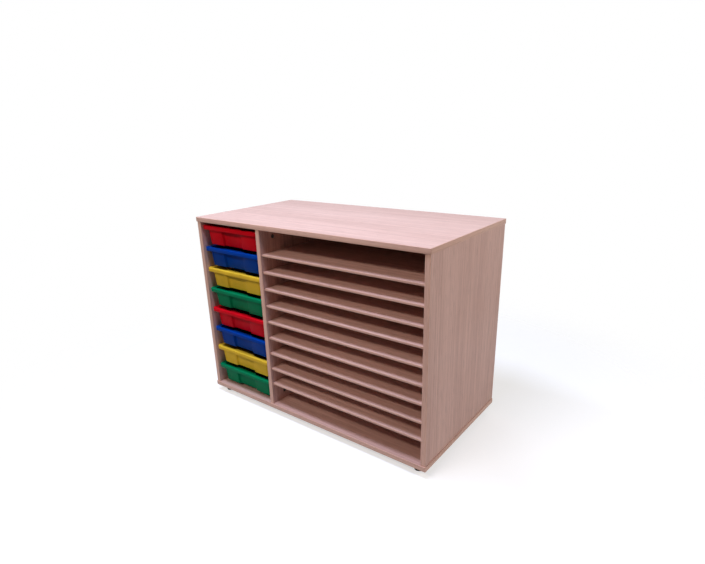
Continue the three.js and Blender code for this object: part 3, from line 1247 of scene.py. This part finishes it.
        wrap = low.y + self.lip_wrap
        relief = wrap + self.wall
        for y in (wrap, relief):
            tray.split(Vector((0, y, 0)), (0, 1, 0), on_flat)
        tray.pick(Kind.EDGE, lambda place, run: place.y < wrap - NEAR and on_flat(place, run), border=True)
        drop = (0, 0, self.wall - self.lip_height)
        bpy.ops.mesh.extrude_edges_move(TRANSFORM_OT_translate={"value": drop})

        half = inner.x / 2
        outline = [size - self.margin for size in (half, inner.y / 2, radius)]

        def on_rim(place: Vector, normal: Vector) -> bool:
            """Whether a vertex is on the rim's outer line, behind the lip."""
            behind_lip = place.y > relief - NEAR
            return behind_lip and on_flat(place, normal) and past_outline(place - middle, *outline)

        tray.pick(Kind.VERT, on_rim)
        spread = (1 + self.wall / half, 1 + self.wall / (high.y - self.wall - relief), 1)
        bpy.ops.transform.resize(value=spread, center_override=(middle.x, relief, under))

    def _add_rail(self, tray: Bench, middle: Vector, recess: float, rim_top: float) -> None:
        """Raises the label rail across the recess.

        Args:
            tray: The tray, in edit mode.
            middle: The middle of its box.
            recess: Where the flat of the recess lies along Y, at its top.
            rim_top: The height of the rim's upper side.
        """
        top = rim_top - self.rail_drop
        half_height = self.rail_height / 2

        def in_recess(place: Vector, normal: Vector) -> bool:
            """Whether a face is on the outside of the recess."""
            near = recess - self.margin < place.y < recess + self.wall
            return normal.y < -FACING and near and abs(place.x - middle.x) < self.grip_width / 2

        def on_rail(place: Vector, normal: Vector) -> bool:
            """Whether a face is where the rail is raised."""
            return in_recess(place, normal) and abs(place.z - top + half_height) < half_height

        for z in (top, top - self.rail_height):
            tray.split(Vector((0, 0, z)), (0, 0, 1), in_recess)
        tray.pick(Kind.FACE, on_rail)
        tray.extrude((0, -self.rail_depth, 0))


@dataclass
class Runners:
    """Plastic runners under the tray rims, pegged to the left side and the divider."""

    plastic: bpy.types.Material
    count: int = 8
    ledge: float = 0.0085
    ledge_thickness: float = 0.0025
    web_thickness: float = 0.0025
    lead_in: float = 0.006
    peg_radius: float = 0.0025
    peg_length: float = 0.008
    peg_inset: float = 0.09
    edge_round: float = 0.0004
    peg_sides: int = 24

    def build(self) -> None:
        """Models the top left runner, then copies and mirrors it down the bay."""
        master = self._runner()
        start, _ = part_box("runner_left_1")
        mirror = Matrix.Diagonal((-1, 1, 1, 1))
        for side in Side:
            for level in range(1, self.count + 1):
                node = f"runner_{side.value}_{level}"
                low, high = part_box(node)
                move = Matrix.Translation(low - start)
                if side is Side.RIGHT:
                    shift = Vector((high.x + start.x, 0, low.z - start.z))
                    move = Matrix.Translation(shift) @ mirror
                piece = master.copy(f"{node}_piece", move)
                piece.dress(self.plastic, CARCASS, "runner_plastic", [node])
        master.discard()

    def _runner(self) -> Bench:
        """Models the top left runner: a web with a ledge along its top and two pegs behind it.

        Returns:
            The piece.
        """
        low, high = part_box("runner_left_1")
        face = high.x - self.ledge
        web_high = Vector((face + self.web_thickness, high.y, high.z))
        runner = Bench.box("runner_master", Vector((face, low.y, low.z)), web_high)
        under = high.z - self.ledge_thickness

        def on_tip(place: Vector, normal: Vector) -> bool:
            """Whether a vertex is on the front end of the ledge's free edge."""
            return place.x > high.x - NEAR and place.y < low.y + NEAR

        with runner.editing():
            runner.split(Vector((0, 0, under)), (0, 0, 1), lambda place, normal: abs(normal.z) < ACROSS)
            runner.pick(Kind.FACE, lambda place, normal: normal.x > FACING and place.z > under)
            runner.extrude((self.ledge - self.web_thickness, 0, 0))
            runner.pick(Kind.VERT, on_tip)
            bpy.ops.transform.translate(value=(0, self.lead_in, 0))
        pegs = []
        for y in (low.y + self.peg_inset, high.y - self.peg_inset):
            root = Vector((face + self.web_thickness / 2, y, (low.z + high.z) / 2))
            tip = Vector((face - self.peg_length, y, root.z))
            pegs.append(Bench.cylinder("peg", self.peg_radius, root, tip, self.peg_sides))
        runner.combine(pegs, Carve.JOIN)
        runner.soften(self.edge_round)
        return runner


@dataclass
class Feet:
    """Turned plastic feet, each with a screw up through its middle."""

    plastic: bpy.types.Material
    steel: bpy.types.Material
    top_radius: float = 0.013
    recess_radius: float = 0.006
    recess_depth: float = 0.005
    foot_round: float = 0.0012
    bore_radius: float = 0.0023
    bore_past: float = 0.001
    foot_sides: int = 64
    bore_sides: int = 24
    round_segments: int = 4

    def build(self) -> None:
        """Models one foot, copies it to the corners and gives the solid screws their finish."""
        spots = [f"{row.value}_{side.value}" for row in Row for side in Side]
        master = self._foot()
        start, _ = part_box(f"foot_{spots[0]}")
        for spot in spots:
            node = f"foot_{spot}"
            low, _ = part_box(node)
            foot = master.copy(f"{node}_piece", Matrix.Translation(low - start))
            foot.dress(self.plastic, CARCASS, "foot_plastic", [node])
            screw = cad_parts[f"foot_screw_{spot}"]
            screw.data.materials.clear()
            screw.data.materials.append(self.steel)
            log.info("%s keeps its solid", screw.name)
        master.discard()

    def _foot(self) -> Bench:
        """Models the front left foot: a tapered disc with a recess under it and a bore for the screw.

        Returns:
            The piece.
        """
        low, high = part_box("foot_front_left")
        middle = (low + high) / 2
        radius = (high.x - low.x) / 2
        bottom = Vector((middle.x, middle.y, low.z))
        top = Vector((middle.x, middle.y, high.z))
        foot = Bench.cylinder("foot_master", radius, bottom, top, self.foot_sides)
        with foot.editing():
            foot.pick(Kind.VERT, lambda place, normal: place.z > high.z - NEAR)
            share = self.top_radius / radius
            bpy.ops.transform.resize(value=(share, share, 1), center_override=top)
            foot.round_edges(self.foot_round, self.round_segments, lambda place, run: abs(run.z) < ACROSS)
            foot.pick(Kind.FACE, lambda place, normal: abs(place.z - low.z) < NEAR)
            bpy.ops.mesh.inset(thickness=radius - self.foot_round - self.recess_radius)
            foot.extrude((0, 0, self.recess_depth))
        past = top + Vector((0, 0, self.bore_past))
        foot.combine([Bench.cylinder("bore", self.bore_radius, bottom, past, self.bore_sides)], Carve.CUT)
        return foot


# The stage


@dataclass(frozen=True)
class Lamp:
    """A soft rectangular lamp, turned towards a target."""

    name: str
    place: tuple[float, float, float]
    target: tuple[float, float, float]
    size: tuple[float, float]
    watts: float
    tint: tuple[float, float, float] = (1.0, 1.0, 1.0)

    def build(self) -> None:
        """Hangs the lamp."""
        data = bpy.data.lights.new(self.name, "AREA")
        data.shape = "RECTANGLE"
        data.size, data.size_y = self.size
        data.energy = self.watts
        data.color = self.tint
        lamp = bpy.data.objects.new(self.name, data)
        lamp.location = self.place
        aim = Vector(self.target) - Vector(self.place)
        lamp.rotation_euler = aim.to_track_quat("-Z", "Y").to_euler()
        bpy.context.scene.collection.objects.link(lamp)


LAMPS = (
    Lamp(
        name="overhead",
        place=(-0.2, -0.61, 2.65),
        target=(0.0, -0.1, 0.4),
        size=(1.7, 0.14),
        watts=48,
        tint=(0.89, 1.04, 1.42),
    ),
    Lamp(
        name="front",
        place=(-0.45, -2.5, 2.72),
        target=(0.0, -0.2, 0.35),
        size=(1.3, 0.3),
        watts=38.5,
        tint=(1.0, 0.885, 0.8),
    ),
    Lamp(
        name="back",
        place=(-1.9, 2.3, 0.46),
        target=(-0.1, 0.1, 0.4),
        size=(1.8, 0.5),
        watts=45,
    ),
    Lamp(
        name="side",
        place=(2.6, 0.25, 1.7),
        target=(0.4, 0.0, 0.38),
        size=(0.6, 1.0),
        watts=28.5,
        tint=(1.0, 0.95, 0.93),
    ),
)


@dataclass
class Studio:
    """Pale floor, soft lamps and the camera."""

    image_width: int = 705
    image_height: int = 564
    sensor: float = 36.0
    focal_pixels: float = 503.84
    axis_row: float = 306.26
    camera_place: tuple[float, float, float] = (1.1799, -1.4676, 1.0852)
    azimuth: float = 37.94
    elevation: float = 19.68
    roll: float = -1.57
    floor_size: float = 7.0
    floor_drop: float = 0.0005
    floor_fade: Span = (0.75, 1.7)
    floor_lit: Colour = Colour(190, 187, 184)
    floor_seen: Colour = Colour(186, 185, 184)
    floor_glow: tuple[float, float, float, float] = (0.58, 0.58, 0.58, 1.0)
    floor_roughness: float = 0.9
    ambient: float = 0.05

    def build(self) -> None:
        """Sets the stage."""
        self._camera()
        self._floor()
        self._world()
        for lamp in LAMPS:
            lamp.build()

    def _camera(self) -> None:
        """Sets up the camera that matches the photograph's view."""
        data = bpy.data.cameras.new("camera")
        data.sensor_width = self.sensor
        data.lens = self.sensor * self.focal_pixels / self.image_width
        data.shift_y = (self.axis_row - self.image_height / 2) / self.image_width
        camera = bpy.data.objects.new("camera", data)
        turn = Matrix.Rotation(math.radians(self.azimuth), 4, "Z")
        tilt = Matrix.Rotation(math.radians(90 - self.elevation), 4, "X")
        lean = Matrix.Rotation(math.radians(self.roll), 4, "Z")
        camera.matrix_world = Matrix.Translation(self.camera_place) @ turn @ tilt @ lean
        bpy.context.scene.collection.objects.link(camera)
        bpy.context.scene.camera = camera
        bpy.context.scene.view_settings.view_transform = "Standard"

    def _floor(self) -> None:
        """Lays a pale floor that fades out into the background."""
        bpy.ops.object.select_all(action="DESELECT")
        bpy.ops.mesh.primitive_plane_add(size=self.floor_size, location=(0, 0, -self.floor_drop))
        floor = bpy.context.active_object
        floor.name = "floor"
        material, paint = Paint.fresh("pale_floor")
        operation = {"operation": "LENGTH"}
        reach = paint.node("ShaderNodeVectorMath", operation, {0: paint.place()}, "Value")
        seen = self._seen(paint)
        paint.finish(
            Base_Color=paint.mix(seen, self.floor_lit.linear(), self.floor_seen.linear()),
            Emission_Color=paint.mix(seen, BLACK, self.floor_glow),
            Emission_Strength=1.0,
            Roughness=self.floor_roughness,
            Alpha=1 - paint.ease(reach, *self.floor_fade),
        )
        floor.data.materials.append(material)

    def _world(self) -> None:
        """Makes the world white where it is seen, and a dimmer light for the rest."""
        world = bpy.data.worlds.new("studio")
        bpy.context.scene.world = world
        paint = Paint(world, "Background")
        strength = self.ambient + (1 - self.ambient) * self._seen(paint)
        paint.finish(Color=WHITE, Strength=strength)

    @staticmethod
    def _seen(paint: Paint) -> Wire:
        """Tells the rays that show the background from those that only light the object.

        Args:
            paint: The paint of the floor or the world.

        Returns:
            1 for rays that come straight, in a reflection or through glass, and else 0.
        """
        kinds = ("Is Camera Ray", "Is Glossy Ray", "Is Transmission Ray")
        camera, glossy, through = (paint.node("ShaderNodeLightPath", output=kind) for kind in kinds)
        larger = {"operation": "MAXIMUM"}
        either = paint.node("ShaderNodeMath", larger, {0: camera, 1: glossy})
        return paint.node("ShaderNodeMath", larger, {0: either, 1: through})


def main() -> None:
    """Builds the stage and the pieces."""
    logging.basicConfig(level=logging.INFO, format="%(name)s: %(message)s")
    Studio().build()
    fittings = CamFittings(CAM_ZINC.material())
    back_low, back_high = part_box("back_panel")
    Carcass(
        LEVEL_FACE.material(),
        UPRIGHT_FACE.material(),
        LEVEL_EDGE.material(),
        UPRIGHT_EDGE.material(),
        BACK_BOARD.material((back_low.y + back_high.y) / 2),
        fittings,
    ).build()
    fittings.build()
    Trays({name: plastic.material() for name, plastic in TRAY_PLASTICS.items()}).build()
    Runners(RUNNER_PLASTIC.material()).build()
    Feet(FOOT_PLASTIC.material(), SCREW_STEEL.material()).build()


if __name__ == "__main__":
    main()
